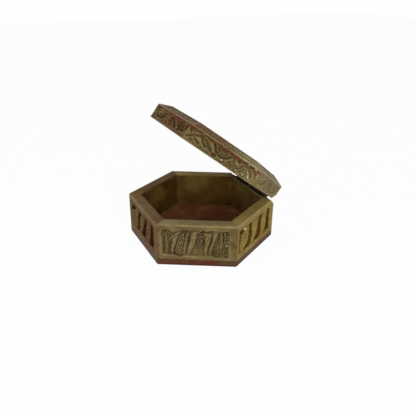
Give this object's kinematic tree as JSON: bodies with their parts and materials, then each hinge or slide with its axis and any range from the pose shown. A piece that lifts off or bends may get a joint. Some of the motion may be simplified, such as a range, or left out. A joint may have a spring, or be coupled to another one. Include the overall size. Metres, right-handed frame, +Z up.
{
  "type": "paan box",
  "caption": "Hexagonal carved soapstone box with a hinged bevelled lid, relief panels on its walls and a vine frieze round the lid.",
  "frame": {"origin": "centre of the flat underside of the floor slab", "axes": "+Z up, +Y towards the hinge side, X along the hinge"},
  "size_m": [0.1, 0.0924, 0.089],
  "materials": {
    "olive_stone": "waxed olive-brown soapstone",
    "veined_stone": "waxed olive soapstone with red-brown veins",
    "red_stone": "waxed red-brown soapstone",
    "brass": "dull brass"
  },
  "bodies": {
    "box": {"base_slab": "red_stone", "wall_front": "olive_stone", "wall_front_right": "olive_stone", "wall_back_right": "olive_stone", "wall_back": "olive_stone", "wall_back_left": "olive_stone", "wall_front_left": "olive_stone", "hinge_left_box_leaf": "brass", "hinge_left_pin": "brass", "hinge_right_box_leaf": "brass", "hinge_right_pin": "brass", "box_hinge_nails": "brass"},
    "lid": {"lid_slab": "veined_stone", "hinge_left_lid_leaf": "brass", "hinge_right_lid_leaf": "brass", "lid_hinge_nails": "brass"}
  },
  "joints": [
    {"name": "lid_hinge", "type": "hinge", "parent": "box", "child": "lid", "pos_m": [0, 0.04094, 0.029], "axis": [-1, 0, 0], "range_deg": [-38.1, 80]}
  ]
}
